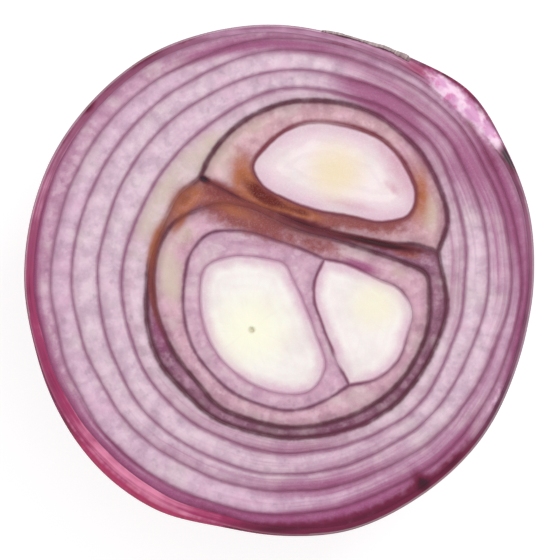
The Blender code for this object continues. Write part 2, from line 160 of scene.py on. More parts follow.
# Where the colour of the cut face changes. An arc is an angle and half width in degrees, a radius and half
# depth in mm and a strength. A spot is a place, two half widths, a turn in degrees and a strength. The
# darkest marks include a painted shadow on a torn skin edge near 28 degrees, the pale zone holds a painted
# highlight on the upper-right shoulder, and the lines between the pieces fade where it is faint.
ARCS = {
    "plum": [
        (20, 24, 35.5, 1.5, 0.85), (32, 16, 33.3, 2, 0.7), (60, 16, 31.1, 1.8, 0.95),
        (57, 20, 29.4, 1.5, 0.6), (30, 22, 28.4, 1.8, 0.4), (30, 14, 30.9, 1.3, 0.5), (88, 22, 35, 1, 0.7),
        (90, 16, 27.2, 1.2, 0.3), (60, 22, 33.6, 1.2, 0.45), (5, 20, 32.8, 1.5, 0.45),
        (0, 22, 26, 1.6, 0.45), (45, 18, 24.6, 2, 0.4), (300, 26, 34.6, 1.8, 0.55),
        (285, 28, 31.4, 1.8, 0.6), (272, 24, 30.2, 1.3, 0.3), (300, 22, 28.2, 1.3, 0.35),
        (270, 25, 27.4, 1.2, 0.3), (275, 35, 25, 1.5, 0.55), (335, 20, 34, 1.6, 0.4),
        (240, 18, 30, 1.4, 0.35), (240, 24, 23.6, 1.2, 0.4), (272, 38, 36.1, 1.3, 0.95),
        (40, 50, 36.9, 0.9, 0.5), (352, 18, 36.3, 0.9, 0.6), (215, 24, 36, 1, 0.7),
        (240, 16, 36.6, 1, 0.7), (180, 14, 36.8, 0.9, 0.9), (196, 12, 36.6, 0.9, 0.8),
        (165, 12, 36.8, 0.7, 0.6), (150, 12, 37.2, 0.6, 0.5), (105, 14, 35.6, 1.2, 0.5),
        (317, 8, 36, 1, 0.6), (252, 14, 35.4, 0.8, 0.5), (226, 20, 34.85, 0.3, 0.55),
        (268, 18, 35, 0.4, 0.5),
    ],
    # The arc at 27 degrees and 38.8 mm is part of a painted shadow on the torn edge of the skin.
    "maroon": [
        (30, 5, 36.2, 1.1, 0.45), (27, 4, 38.8, 0.9, 1), (268, 9, 37.2, 1, 0.7), (39, 3, 36.6, 0.8, 0.5),
        (305, 1.6, 36.8, 2.2, 0.9), (314, 8, 37.6, 1, 0.8), (76, 5, 36.2, 0.4, 0.5),
        (185, 6, 38, 0.7, 0.5), (252, 9, 35.7, 0.6, 0.4), (274, 18, 36.9, 0.9, 0.55),
        (289, 18, 37.4, 1.1, 0.75), (303, 12, 37.2, 1.2, 0.55), (56, 2.5, 38.9, 0.4, 0.5),
        (121, 6, 38.6, 0.5, 0.8), (132, 3, 38.5, 0.35, 0.6), (138, 2.2, 38.3, 0.6, 0.9),
        (147, 3.5, 38.3, 0.4, 0.6), (111, 3, 38.2, 0.4, 0.5),
    ],
    # The pale arcs at 33.5 to 49 degrees paint a whitish-pink highlight on the glossy upper-right shoulder.
    "pale": [
        (49, 6, 37.8, 1.6, 0.95), (40, 5.5, 37.8, 1.5, 0.95), (33.5, 3, 38.3, 0.9, 0.9),
        (331, 4, 36.6, 0.5, 0.5), (100, 12, 36.9, 0.6, 0.2),
    ],
    "ivory": [(146, 26, 22, 2.3, 0.6), (118, 14, 23.5, 1.6, 0.4)],
    "rust": [(181, 24, 19.2, 0.65, 0.95)],
    "stain": [(141, 10, 18.6, 1.4, 0.6), (163, 13, 19.4, 0.9, 0.6)],
    # The darkest marks. The arc at 28 degrees, with the maroon arc at 27 degrees, is a painted shadow on the
    # torn edge of the skin; the arc at 305.5 degrees is a dark slit line across the outer scale.
    "shadow_and_dark_marks": [(28, 3.2, 38.7, 0.9, 0.95), (305.5, 1.2, 36.9, 0.7, 0.6)],
    "faint": [(145, 16, 19.2, 0.9, 0.7), (166, 12, 19.6, 0.5, 0.6)],
}
SPOTS = {
    "plum": [
        (12, 2.2, 3.4, 0.9, -22, 0.8), (-17.8, -8, 1.6, 4, 20, 0.5), (-3, 5.2, 4.5, 0.8, -8, 0.4),
        (10.5, 11.2, 5, 0.8, -10, 0.6), (16.6, 13.8, 1.6, 0.5, -50, 0.7), (17.6, 15, 2, 4, 25, 0.4),
    ],
    "maroon": [
        (-11.2, 14.9, 0.9, 0.6, -30, 0.95), (-7.5, 13, 3, 0.35, -27, 0.6), (3.5, 8.5, 6, 0.8, -19, 0.85),
        (15, 5.4, 7.5, 0.7, -11, 1), (14, 5.6, 6, 0.4, -12, 0.8),
    ],
    "ivory": [
        (-10, 18.2, 3.6, 3, 35, 0.5), (-3.5, 23, 4, 1.6, 25, 0.4), (-16.4, 1, 2, 6, 8, 0.8),
        (17.5, 1.2, 3, 1.2, -30, 0.4), (-14, 7, 2.2, 1.8, 30, 0.6), (22.3, 10.2, 1.6, 3.6, 8, 0.75),
    ],
    "rust": [
        (-5, 9.2, 9.5, 2.4, -21, 1), (-6.2, 12.5, 4.5, 1, -27, 0.9), (3, 9.4, 6, 1.2, -18, 0.9),
        (-4.8, 15, 2.2, 4.6, 5, 0.6), (11, 8.4, 8, 1.1, -9, 0.8), (-13.8, 5.8, 1.8, 2.5, 0, 0.3),
        (19, 4, 3, 0.9, -12, 0.8), (18, 8.6, 3.6, 1.3, 20, 0.6), (6.5, 4.8, 4, 1.6, -20, 0.6),
        (-9.4, 13.4, 2.6, 1.1, -27, 0.9),
    ],
    "stain": [
        (-5.6, 15.6, 1.9, 3.6, 8, 0.6), (-2.8, 12.8, 3.2, 1.5, -38, 1), (-2.4, 12.6, 2.6, 1.1, -38, 0.9),
        (-0.6, 11.6, 3.2, 0.9, -26, 0.85), (3, 10.2, 3, 0.8, -18, 0.85), (6, 9.1, 4, 0.8, -14, 0.15),
        (21.2, 12.8, 0.9, 3.6, 0, 0.4), (-13.4, 12.2, 2.4, 1.7, 20, 0.35), (-7, 10.4, 4.5, 1, -24, 0.4),
        (-14.9, 8.8, 0.8, 2.6, -30, 0.5), (20.8, 12.5, 2.3, 4.8, 8, 0.3), (19.8, 11.8, 0.9, 4.2, 5, 0.3),
    ],
    "shadow_and_dark_marks": [(-11.4, 15, 0.7, 0.5, -20, 0.9)],
    "faint": [
        (6, 23.6, 9, 1.6, 0, 0.42), (-12, 11.2, 3, 1.4, 25, 0.6), (-5, 10.4, 5.5, 0.7, -20, 0.7),
        (15.4, 0.2, 5, 1, -26, 0.6), (19.5, -5, 1.3, 4.4, 0, 0.8), (17.6, -10.8, 3.4, 1.2, 62, 0.5),
        (14.6, -14.4, 2.4, 1, 32, 0.4), (8.8, -12, 1.7, 1, -62, 0.85),
    ],
}

# How the skin's colour runs round the rim: angle in degrees, lightness, and how mauve it is
SKIN_TONES = [
    (0, 0.3, 0.9), (22, 0.25, 0.9), (33, 0.3, 0.7), (43, 0.35, 0.1), (55, 0.4, 0.1), (62, 0.65, 0.9),
    (78, 0.75, 1), (105, 0.65, 1), (122, 0.3, 0.7), (150, 0.6, 0.75), (165, 0.6, 0.5), (182, 0.4, 0.2),
    (205, 0.42, 0.1), (225, 0.78, 0), (245, 0.78, 0), (257, 0.6, 0), (266, 0.12, 0), (300, 0.03, 0.3),
    (315, 0.05, 0.6), (330, 0.04, 0.8), (345, 0.25, 1),
]

# The wet flesh's and hearts' shader
WET = {
    "Roughness": 0.34, "Specular_IOR_Level": 0.35, "Coat_Weight": 0.1, "Coat_Roughness": 0.18, "IOR": 1.36,
    "Subsurface_Weight": 0.2, "Subsurface_Radius": (1.0, 0.5, 0.6), "Subsurface_Scale": 0.7 * MM,
}

# Colours in sRGB from 0 to 255, of the zones and then of the nested scales' flesh
PLUM, PLUM_LINE, STAIN_LINE = (158, 70, 124), (124, 40, 84), (130, 56, 44)
# The pale zone's colours paint a whitish-pink highlight with pink flecks on the upper-right shoulder.
PALE, WHITISH_HIGHLIGHT, FLECK = (214, 154, 196), (240, 206, 228), (208, 84, 156)
BRUISES, BROWN_BRUISES = ((114, 28, 64), (74, 10, 38)), ((100, 34, 46), (62, 18, 28))
# The darkest marks' colour, near 28 degrees a painted shadow, and the ivory zone's colour.
SHADOW_AND_DARK_MARKS, IVORY = (52, 24, 40), (212, 194, 178)
RUST, RUSTY_PINK, STAIN, DEEP_STAIN = (138, 60, 58), (192, 124, 118), (176, 104, 70), (106, 28, 18)
LILAC, DUSKY_LILAC = (228, 200, 216), (206, 176, 196)
GROWING_POINT = (158, 152, 118)
# The skin's colours at the rim, each where it is crimson and where it is mauve
SKIN_DARK, SKIN_BODY = ((92, 12, 46), (98, 50, 76)), ((160, 46, 96), (147, 93, 122))
SKIN_LIGHT = ((228, 138, 172), (202, 154, 184))

# The lines between pieces: colour, half width in mm and strength
DARK_LINE, INNERMOST_LINE = ((92, 42, 60), 0.3, 0.95), ((92, 42, 60), 0.34, 0.95)
HEART_LINE, RIGHT_HEART_LINE = ((124, 50, 66), 0.28, 0.95), ((136, 62, 96), 0.16, 0.9)
BULB_LINE, SOFT_LINE = ((118, 62, 92), 0.18, 0.9), ((176, 120, 150), 0.22, 0.62)
RING_TINT = (158, 107, 136)
RING, WIDE_RING, STRONG_RING = (RING_TINT, 0.2, 0.85), (RING_TINT, 0.22, 0.85), (RING_TINT, 0.22, 1.0)
# How far in mm, and how strongly, a scale's outer and inner line soak into its flesh
SOAKS = {"outer_mm": (1.5, 0.34), "inner_mm": (0.9, 0.2)}
# The nested scales inside the outermost one: light, shade, outer line and inner line
SCALES = [
    ((206, 164, 188), (184, 132, 162), WIDE_RING, RING),
    ((222, 188, 210), (202, 166, 190), RING, RING),
    (LILAC, DUSKY_LILAC, RING, RING),
    (LILAC, DUSKY_LILAC, RING, WIDE_RING),
    (LILAC, (206, 178, 192), STRONG_RING, INNERMOST_LINE),
]

# The yellow middle of each heart: place, colour and size
UPPER_YOLK = ((8.4 * MM, 16.2 * MM), (241, 223, 188), 6.2 * MM)
LEFT_YOLK = (LEFT_TIP, (254, 252, 226), 8.0 * MM)
RIGHT_YOLK = ((14.0 * MM, -3.8 * MM), (247, 240, 216), 5.6 * MM)
# The left heart's growing point: how deep it lies, and how wide its colour reaches
DIMPLE, GROWING_POINT_SIZE = 0.25 * MM, 0.78 * MM

# The scrap of dry skin: angles in degrees, and its top and torn edges as depths under the rim in mm
SCRAP_ANGLES = (59.5, 80.5)
SCRAP_TOP = (0.3, 0.9)
SCRAP_TORN_EDGE = (5.6, 7.6)
SCRAP_LIFT, SCRAP_CURL, SCRAP_RIPPLE = 0.1 * MM, 0.2 * MM, 0.06 * MM
SCRAP_THICKNESS = 0.1 * MM
SCRAP_COLUMNS, SCRAP_ROWS = 110, 18
RIM_MM = 38

# The root plate's trimmed roots. Their start heights and drops are in mm.
ROOT_COUNT, ROOT_SIDES, ROOT_POINTS = 150, 7, 7
ROOT_SHARES = [i / (ROOT_POINTS - 1) for i in range(ROOT_POINTS)]
ROOT_RADIUS = (0.18 * MM, 0.4 * MM)
ROOT_START = 7.8 * MM
ROOT_REACH = (10.6 * MM, 12.7 * MM)
ROOT_START_HEIGHT, ROOT_DROP = (0.5, 2.0), (0.1, 1.4)
ROOT_BEND, ROOT_WIGGLE = 0.5 * MM, 0.12 * MM
PLATE_SIDES = 120
PLATE_RELIEF = 0.12 * MM
GAP_OVER_PLATE = 0.35 * MM

# The studio. A lamp is a name, a place and a size in metres, and a power in watts.
CAMERA_DISTANCE = 1.6
PICTURE_WIDTH = 83.4 * MM
LAMPS = [("key", (0.22, 0.26, 0.42), 0.25, 0.85), ("fill", (-0.35, -0.3, 0.5), 0.5, 0.4)]
WHITE, SKY_STRENGTH = (1, 1, 1, 1), 0.74
FLOOR_SIZE, FLOOR_GREY, FLOOR_GLOW = 2.0, (0.6, 0.6, 0.6, 1), 0.6


def rgb(colour):
    """An sRGB colour from 0 to 255 as linear RGBA."""
    return (*[((c / 255 + 0.055) / 1.055) ** 2.4 for c in colour], 1.0)


def spline(points, closed=False, steps=10):
    """Points along a smooth curve through the given ones."""
    knots = np.array(points, float)
    if closed:
        knots = np.vstack([knots[-1:], knots, knots[:2]])
    else:
        knots = np.vstack([2 * knots[:1] - knots[1:2], knots, 2 * knots[-1:] - knots[-2:-1]])
    chord = np.diff(knots, axis=0)
    length = np.linalg.norm(chord, axis=1)[:, None]
    speed = chord / length
    slope = (speed[1:] * length[:-1] + speed[:-1] * length[1:]) / (length[1:] + length[:-1])
    t = np.linspace(0, 1, steps, endpoint=False)[:, None]
    start_share = 2 * t**3 - 3 * t**2 + 1
    spans = [
        start_share * knots[i + 1]
        + (1 - start_share) * knots[i + 2]
        + (t**3 - 2 * t**2 + t) * length[i + 1] * slope[i]
        + (t**3 - t**2) * length[i + 1] * slope[i + 1]
        for i in range(len(knots) - 3)
    ]
    if not closed:
        spans.append(knots[-2:-1])
    return np.vstack(spans)


def polar_points(pairs):
    """Turns pairs of an angle in degrees and a radius in mm into points in metres."""
    return [(r * MM * math.cos(math.radians(a)), r * MM * math.sin(math.radians(a))) for a, r in pairs]


def in_metres(points):
    return [(x * MM, y * MM) for x, y in points]


def evenly(curve, spacing, closed=False):
    """Points at an even spacing along a curve, without the last one, where the next arc starts."""
    if closed:
        curve = np.vstack([curve, curve[:1]])
    reach = np.concatenate([[0], np.cumsum(np.linalg.norm(np.diff(curve, axis=0), axis=1))])
    count = max(2, round(reach[-1] / spacing))
    at = np.linspace(0, reach[-1], count, endpoint=False)
    return np.stack([np.interp(at, reach, curve[:, 0]), np.interp(at, reach, curve[:, 1])], axis=1)


def joined(*arcs):
    """One closed outline of open arcs that meet in corners."""
    return np.vstack([evenly(arc, CORE_SPACING) for arc in arcs])


def polar(points):
    """The angles in radians and the radii of points."""
    return np.arctan2(points[:, 1], points[:, 0]), np.hypot(points[:, 0], points[:, 1])


def directions(angle):
    """A row of x and y for each angle in radians."""
    return np.stack([np.cos(angle), np.sin(angle)], axis=1)


def radius_reader(curve, centre=(0.0, 0.0)):
    """A function that gives a closed curve's distance from the centre at any angle in radians."""
    angles, radii = polar(curve - np.array(centre))
    return lambda angle: np.interp(angle, angles, radii, period=2 * math.pi)


def seen_from(centre, outline, curve):
    """The points of a closed curve that lie on the lines from the centre to an outline's points."""
    angle, _ = polar(outline - np.array(centre))
    return np.array(centre) + radius_reader(curve, centre)(angle)[:, None] * directions(angle)


def degrees_from(angle, at):
    """How far angles in radians are from one in degrees, from -180 to 180."""
    return np.degrees(np.angle(np.exp(1j * (angle - math.radians(at)))))


def overhang(angle):
    """How far the belly stands out past the rim at an angle in radians."""
    total = OVERHANG
    for at, width, size in SWELLINGS:
        total = total + size * MM * np.exp(-((degrees_from(angle, at) / width) ** 2))
    return total


belly_radius = radius_reader(spline(polar_points(BELLY), closed=True))
GROUP_TOP_ARC = spline(polar_points(GROUP_UPPER))
GROUP_BOTTOM_ARC = spline(polar_points(GROUP_LOWER))
group_radius = radius_reader(np.vstack([GROUP_TOP_ARC, GROUP_BOTTOM_ARC]))


def rim_radius(angle):
    return belly_radius(angle) - overhang(angle)


def skin_scale_inside(angle):
    return rim_radius(angle) - SKIN_SCALE_THICKNESS + SKIN_SCALE_LEAN * np.cos(angle)


def ring_radius(number):
    """The radius function of a nested line, counted from the rim, which is 0."""
    if number < 2:
        return (rim_radius, skin_scale_inside)[number]
    if number == len(PLATE_SHARES):
        return group_radius
    pairs = [(45 * i, r) for i, r in enumerate(RING_LINES[number - 2])]
    return radius_reader(spline(polar_points(pairs), closed=True, steps=40))


def plate_height(share):
    return PLATE_RIM_HEIGHT + (PLATE_TOP_HEIGHT - PLATE_RIM_HEIGHT) * (1 - share**2)


def group_share(outline):
    """Where points inside the daughter bulbs' outline end on the root plate."""
    angle, radius = polar(outline)
    return GROUP_SHARE * radius / group_radius(angle)


def fibres(outline, share, steps, rounded):
    """Rows of points from an outline in the cut face down to the root plate, rounded at the rim if asked."""
    angle, radius = polar(outline)
    spread = overhang(angle) * share**6
    foot = PLATE_RADIUS * share
    belly_height = CUT_HEIGHT - BELLY_DROP
    rows = []
    for turn in SHOULDER_TURNS:
        out = math.sin(turn) if rounded else 1 - math.cos(turn)
        height = CUT_HEIGHT - BELLY_DROP * (1 - math.cos(turn))
        rows.append((radius + spread * out, np.full_like(radius, height)))
    for step in range(steps + 1):
        turn = FIBRE_SWEEP * step / steps
        inward = (math.cos(turn) - math.cos(FIBRE_SWEEP)) / (1 - math.cos(FIBRE_SWEEP))
        down = math.sin(turn) / math.sin(FIBRE_SWEEP)
        height = belly_height + (plate_height(share) - belly_height) * down
        rows.append((foot + (radius + spread - foot) * inward, height))
    return np.array([np.stack([r * np.cos(angle), r * np.sin(angle), z], axis=1) for r, z in rows])


def unit(vectors):
    return vectors / np.maximum(np.linalg.norm(vectors, axis=-1, keepdims=True), 1e-12)


def wall(outline, share, side, steps=PLAIN_STEPS, rounded=False, offset=HALF_GAP):
    """The surface under an outline, moved off it: outwards for side 1, inwards for -1."""
    rows = fibres(outline, share, steps, rounded)
    down = np.gradient(rows, axis=0)
    ahead = np.roll(rows, -1, axis=1) - rows
    before = unit(np.cross(down, np.roll(ahead, 1, axis=1)))
    after = unit(np.cross(down, ahead))
    middle = unit(before + after)
    stretch = 1 / np.maximum((middle * after).sum(axis=-1, keepdims=True), SHARPEST_CORNER)
    return rows + side * offset * stretch * middle


def distance_to(curve, points):
    """How far points in the cut face are from a closed curve."""
    along = np.roll(curve, -1, axis=0) - curve
    length = np.maximum((along**2).sum(axis=1), 1e-18)
    nearest = np.full(len(points), 1.0)
    for first in range(0, len(points), POINTS_AT_ONCE):
        offset = points[first : first + POINTS_AT_ONCE, None, :] - curve[None]
        share = np.clip((offset * along).sum(axis=2) / length, 0, 1)
        gap = np.linalg.norm(offset - share[..., None] * along, axis=2)
        nearest[first : first + POINTS_AT_ONCE] = gap.min(axis=1)
    return nearest


def make_waves(draw):
    """Waves in the cut face's plane, each a wave vector, a phase and a sideways amplitude."""
    waves = []
    for _ in range(WAVE_COUNT):
        length = draw.uniform(*WAVE_LENGTHS)
        heading, swing = draw.uniform(0, 2 * math.pi), draw.uniform(0, 2 * math.pi)
        vector = np.array([math.cos(heading), math.sin(heading)]) * 2 * math.pi / length
        amplitude = np.array([math.cos(swing), math.sin(swing)]) * length * WAVE_STEEPNESS
        waves.append((vector, draw.uniform(0, 2 * math.pi), amplitude))
    return waves


DRAW = random.Random(SEED)
SIDEWAYS_WAVES = make_waves(DRAW)
HEIGHT_WAVES = make_waves(DRAW)


def settle(points, level):
    """Moves a piece's points by shared waves and dropping shoulders, and by its own level."""
    flat = points[:, :2]
    near_cut = np.clip(1 - (CUT_HEIGHT - points[:, 2]) / DEEPEST_WAVE, 0, 1)
    angle, radius = polar(flat)
    free = np.clip((CALM_RADIUS - radius) / CALM_DEPTH, 0.1, 1)[:, None]
    moved = points.copy()
    for vector, phase, amplitude in SIDEWAYS_WAVES:
        moved[:, :2] += np.sin(flat @ vector + phase)[:, None] * amplitude * free
    height = sum(np.sin(flat @ vector + phase) for vector, phase, _ in HEIGHT_WAVES) / WAVE_COUNT
    drop = level + UNEVENNESS * (1 + height)
    for at, width, start, steepness in SHOULDERS:
        past = np.maximum(radius / MM - start, 0)
        bend = np.exp(-((degrees_from(angle, at) / width) ** 4))
        drop = drop + np.minimum(steepness * past**2 * bend * MM, DEEPEST_SHOULDER)
    moved[:, 2] -= drop * near_cut
    return moved


def zone_amounts(flat):
    """How strongly each zone of colour shows at points in the cut face."""
    x, y = flat.T / MM
    angle, radius = polar(flat / MM)
    amounts = {}
    for zone, arcs in ARCS.items():
        clear = np.ones(len(flat))
        for at, width, middle, depth, strength in arcs:
            away = (degrees_from(angle, at) / width) ** 2 + ((radius - middle) / depth) ** 2
            clear *= 1 - strength * np.exp(-away)
        for cx, cy, wide, high, turn, strength in SPOTS.get(zone, []):
            c, s = math.cos(math.radians(turn)), math.sin(math.radians(turn))
            u, v = (x - cx) * c + (y - cy) * s, (y - cy) * c - (x - cx) * s
            clear *= 1 - strength * np.exp(-((u / wide) ** 2) - (v / high) ** 2)
        amounts[zone] = 1 - clear
    return amounts


def store(mesh, key, values):
    """Stores a number or a vector for each point of a mesh, for its finish to read."""
    values = np.asarray(values, np.float32)
    kind, field = ("FLOAT", "value") if values.ndim == 1 else ("FLOAT_VECTOR", "vector")
    mesh.attributes.new(key, kind, "POINT").data.foreach_set(field, values.ravel())


def add_object(name, data):
    made = bpy.data.objects.new(name, data)
    bpy.context.scene.collection.objects.link(made)
    return made


def add_piece(node, mesh, finish):
    """A finished piece that rides on the onion and stands for its solid."""
    mesh.name = node + "_fine"
    mesh.materials.append(finish)
    mesh.shade_smooth()
    mesh.set_sharp_from_angle(angle=SHARP_ANGLE)
    made = add_object(mesh.name, mesh)
    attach(made, "root")
    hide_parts(node)
    return made


class Loops:
    """Loops of points that a surface is drawn through, and what the finish reads at each point."""

    def __init__(self, centre):
        self.centre = np.array(centre)
        self.points, self.facts = [], []

    def add(self, rows, **facts):
        """Adds rows of points. Facts are numbers for all of them, or one array of numbers for each row."""
        for number, row in enumerate(rows):
            here = {k: v[number] if np.ndim(v) else v for k, v in facts.items()}
            self.points.append(row)
            self.facts.append({k: np.broadcast_to(v, len(row)) for k, v in here.items()})


def lofted(loops, caps=None):
    """A mesh through loops, with a point at each end or joined from the last to the first."""
    count = len(loops.points[0])
    points = np.vstack(loops.points)
    facts = {k: np.concatenate([f[k] for f in loops.facts]) for k in loops.facts[0]}
    around = np.arange(count)
    after = (around + 1) % count
    starts = [k * count for k in range(len(loops.points))]
    ends = starts[1:] + ([0] if caps is None else [])
    faces = [np.stack([a + around, a + after, b + after, b + around], 1) for a, b in zip(starts, ends)]
    faces = np.vstack(faces).tolist()
    if caps is not None:
        first_cap, last_cap = (np.full(count, len(points) + k) for k in (0, 1))
        faces += np.stack([after, around, first_cap], 1).tolist()
        faces += np.stack([starts[-1] + around, starts[-1] + after, last_cap], 1).tolist()
        points = np.vstack([points, caps])
        facts = {k: np.concatenate([v, v[:1], v[-1:]]) for k, v in facts.items()}
    flat = points[:, :2]
    facts.update(zone_amounts(flat))
    from_centre = unit(flat - loops.centre)
    mean_radius = np.linalg.norm(loops.points[0][:, :2] - loops.centre, axis=1).mean() / MM
    facts["grain"] = np.column_stack([from_centre * mean_radius, facts.pop("along")])
    mesh = bpy.data.meshes.new("mesh")
    mesh.from_pydata(settle(points, DRAW.uniform(0, LEVEL_SPREAD)).tolist(), [], faces)
    for key, values in facts.items():
        store(mesh, key, values)
    mesh.update()
    return mesh


def depth_along(rows):
    """How far down each row of a wall lies, in mm along its fibres."""
    steps = np.linalg.norm(np.diff(rows, axis=0), axis=2)
    return np.vstack([np.zeros(rows.shape[1]), np.cumsum(steps, axis=0)]) / MM


def cut_rows(outer, inner, lines):
    """The cut face between two loops, with rounded edges, and its distances in mm from the lines."""
    share = 0.5 - 0.5 * np.cos(np.linspace(0, math.pi, ACROSS))
    rows = outer[None, :, :2] + (inner - outer)[None, :, :2] * share[:, None, None]
    flat = rows.reshape(-1, 2)
    away = [distance_to(line, flat).reshape(rows.shape[:2]) for line in lines]
    rise = np.clip(np.min(away, axis=0) / EDGE_ROUND, 0, 1)
    height = CUT_HEIGHT - EDGE_SINK * (1 - rise) ** 2
    return np.dstack([rows, height]), [a / MM for a in away]


def ring_mesh(outer, inner, outer_share, inner_share, centre=(0, 0), outermost=False):
    """A scale that goes all the way round, from its outer foot over the cut face and down inside."""
    if outermost:
        outside = wall(outer, outer_share, -1, FINE_STEPS, rounded=True, offset=OUTSIDE_INSET)
    else:
        outside = wall(outer, outer_share, -1)
    inside = wall(inner, inner_share, 1)
    rows, (from_outer, from_inner) = cut_rows(outside[0], inside[0], (outer, inner))
    loops = Loops(centre)
    down = depth_along(outside)[:0:-1]
    loops.add(outside[:0:-1], along=-down, outer_mm=0.0, inner_mm=FAR, cut=0.0, depth=down / down.max())
    loops.add(rows, along=from_outer, outer_mm=from_outer, inner_mm=from_inner, cut=1.0, depth=0.0)
    down = depth_along(inside)[1:]
    loops.add(inside[1:], along=down, outer_mm=FAR, inner_mm=0.0, cut=0.0, depth=down / down.max())
    return lofted(loops)


def heart_mesh(outline, tip, dimple=0.0):
    """A solid heart of closely packed young leaves, with its growing point a small dimple."""
    outside = wall(outline, group_share(outline), -1)
    middle = np.tile([*tip, CUT_HEIGHT], (len(outline), 1))
    last_loop = outside[0] + (middle - outside[0]) * LAST_LOOP_SHARE
    rows, (from_edge,) = cut_rows(outside[0], last_loop, (outline,))
    rows[-1, :, 2] -= dimple
    loops = Loops(tip)
    down = depth_along(outside)[:0:-1]
    loops.add(outside[:0:-1], along=-down, outer_mm=0.0, cut=0.0, depth=down / down.max())
    loops.add(rows, along=from_edge, outer_mm=from_edge, cut=1.0, depth=0.0)
    foot = outside[-1].mean(axis=0)
    caps = [[foot[0], foot[1], outside[-1][:, 2].max()], [*tip, CUT_HEIGHT - 1.5 * dimple]]
    return lofted(loops, caps)


class Finish:
    """A Principled material, and short names for the nodes that feed it."""

    def __init__(self, name, **sockets):
        self.material = bpy.data.materials.new(name)
        self.material.use_nodes = True
        self.tree = self.material.node_tree
        self.shader = self.tree.nodes["Principled BSDF"]
        for socket, value in sockets.items():
            self.shader.inputs[socket.replace("_", " ")].default_value = value
        self.place = self.node("TexCoord").outputs["Object"]
        self.grain = self.node("Attribute", attribute_name="grain").outputs["Vector"]

    def node(self, kind, inputs=(), **settings):
        made = self.tree.nodes.new("ShaderNode" + kind)
        for key, value in settings.items():
            setattr(made, key, value)
        for socket, value in dict(inputs).items():
            if isinstance(value, bpy.types.NodeSocket):
                self.tree.links.new(value, made.inputs[socket])
            else:
                made.inputs[socket].default_value = value
        return made

    def fact(self, name):
        return self.node("Attribute", attribute_name=name).outputs["Fac"]

    def noise(self, scale, detail=2.0, roughness=0.5, vector=None):
        """A noise around 0.5, in metres of the object's own space unless a vector is given."""
        place = self.place if vector is None else vector
        inputs = {"Vector": place, "Scale": scale, "Detail": detail, "Roughness": roughness}
        return self.node("TexNoise", inputs).outputs["Fac"]

    def fibrous(self, stretch, detail=3.0, roughness=0.6):
        """A noise around 0.5 that is stretched along the fibres."""
        vector = self.node("VectorMath", {0: self.grain, 1: stretch}, operation="MULTIPLY")
        return self.noise(1.0, detail, roughness, vector.outputs[0])

    def span(self, value, low, high, to_low=0.0, to_high=1.0):
        """The value, eased from low to high."""
        inputs = {"Value": value, "From Min": low, "From Max": high, "To Min": to_low, "To Max": to_high}
        return self.node("MapRange", inputs, interpolation_type="SMOOTHSTEP").outputs["Result"]

    def sum(self, a, b):
        return self.node("Math", {0: a, 1: b}, operation="ADD").outputs[0]

    def times(self, a, b):
        return self.node("Math", {0: a, 1: b}, operation="MULTIPLY").outputs[0]

    def shaken(self, value, noise, by):
        """A value made uneven by a noise around 0.5."""
        return self.sum(value, self.times(self.sum(noise, -0.5), by))

    def mix(self, amount, a, b):
        """Colour a, with an amount of colour b over it."""
        a, b = (c if isinstance(c, bpy.types.NodeSocket) else rgb(c) for c in (a, b))
        return self.node("Mix", {0: amount, 6: a, 7: b}, data_type="RGBA").outputs[2]

    def layered(self, colour, *layers):
        """A colour under layers: a value, where the layer starts and is full, its amount and its colour."""
        for value, start, full, amount, tint in layers:
            colour = self.mix(self.times(self.span(value, start, full), amount), colour, tint)
        return colour

    def zone(self, name, ragged):
        """A zone's amount, its edges made ragged by a noise."""
        return self.span(self.shaken(self.fact(name), ragged, 0.7), 0.12, 0.8)

    def bump(self, height, distance, strength, under=None):
        """A relief of a height, over another one if given."""
        inputs = {"Height": height, "Distance": distance, "Strength": strength}
        if under is not None:
            inputs["Normal"] = under
        return self.node("Bump", inputs).outputs["Normal"]

    def link(self, **sockets):
        """The material, with outputs linked to the shader's sockets."""
        for socket, output in sockets.items():
            self.tree.links.new(output, self.shader.inputs[socket.replace("_", " ")])
        return self.material


def bruises_marks_and_painted_light(f, colour, ragged, bruises, shown=1.0):
    """A colour with the onion outside's patches over it: whitish pink, mostly a painted highlight on the
    upper-right shoulder; bruised; and darkest, where the one near 28 degrees is a painted shadow at a torn
    skin edge.
    """
    clouds, flecks = f.noise(420), f.noise(720)
    # The pale zone's tint, a painted highlight on the upper-right shoulder.
    pale_and_highlight_tint = f.layered(f.mix(f.span(clouds, 0.4, 0.62), PALE, WHITISH_HIGHLIGHT), (flecks, 0.56, 0.7, 0.6, FLECK))
    bruise = f.mix(f.span(f.fact("maroon"), 0.7, 0.95), *bruises)
    # Near 28 degrees the maroon and darkest zones paint a shadow on the torn edge of the skin.
    for zone, tint in (("pale", pale_and_highlight_tint), ("maroon", bruise), ("shadow_and_dark_marks", SHADOW_AND_DARK_MARKS)):
        colour = f.mix(f.times(f.zone(zone, ragged), shown), colour, tint)
    return colour


def flesh_noises(f):
    """The noises that the flesh's colour and relief are made of."""
    return SimpleNamespace(
        patches=f.noise(330, 3.0, 0.6),
        spots=f.noise(620, 2.0, 0.6),
        ragged=f.noise(900, 3.0, 0.6),
        blush=f.noise(230),
        cells=f.noise(5200, 1.0),
        streaks=f.fibrous((1.7, 1.7, 0.22)),
        bands=f.fibrous((0.14, 0.14, 1.3)),
    )


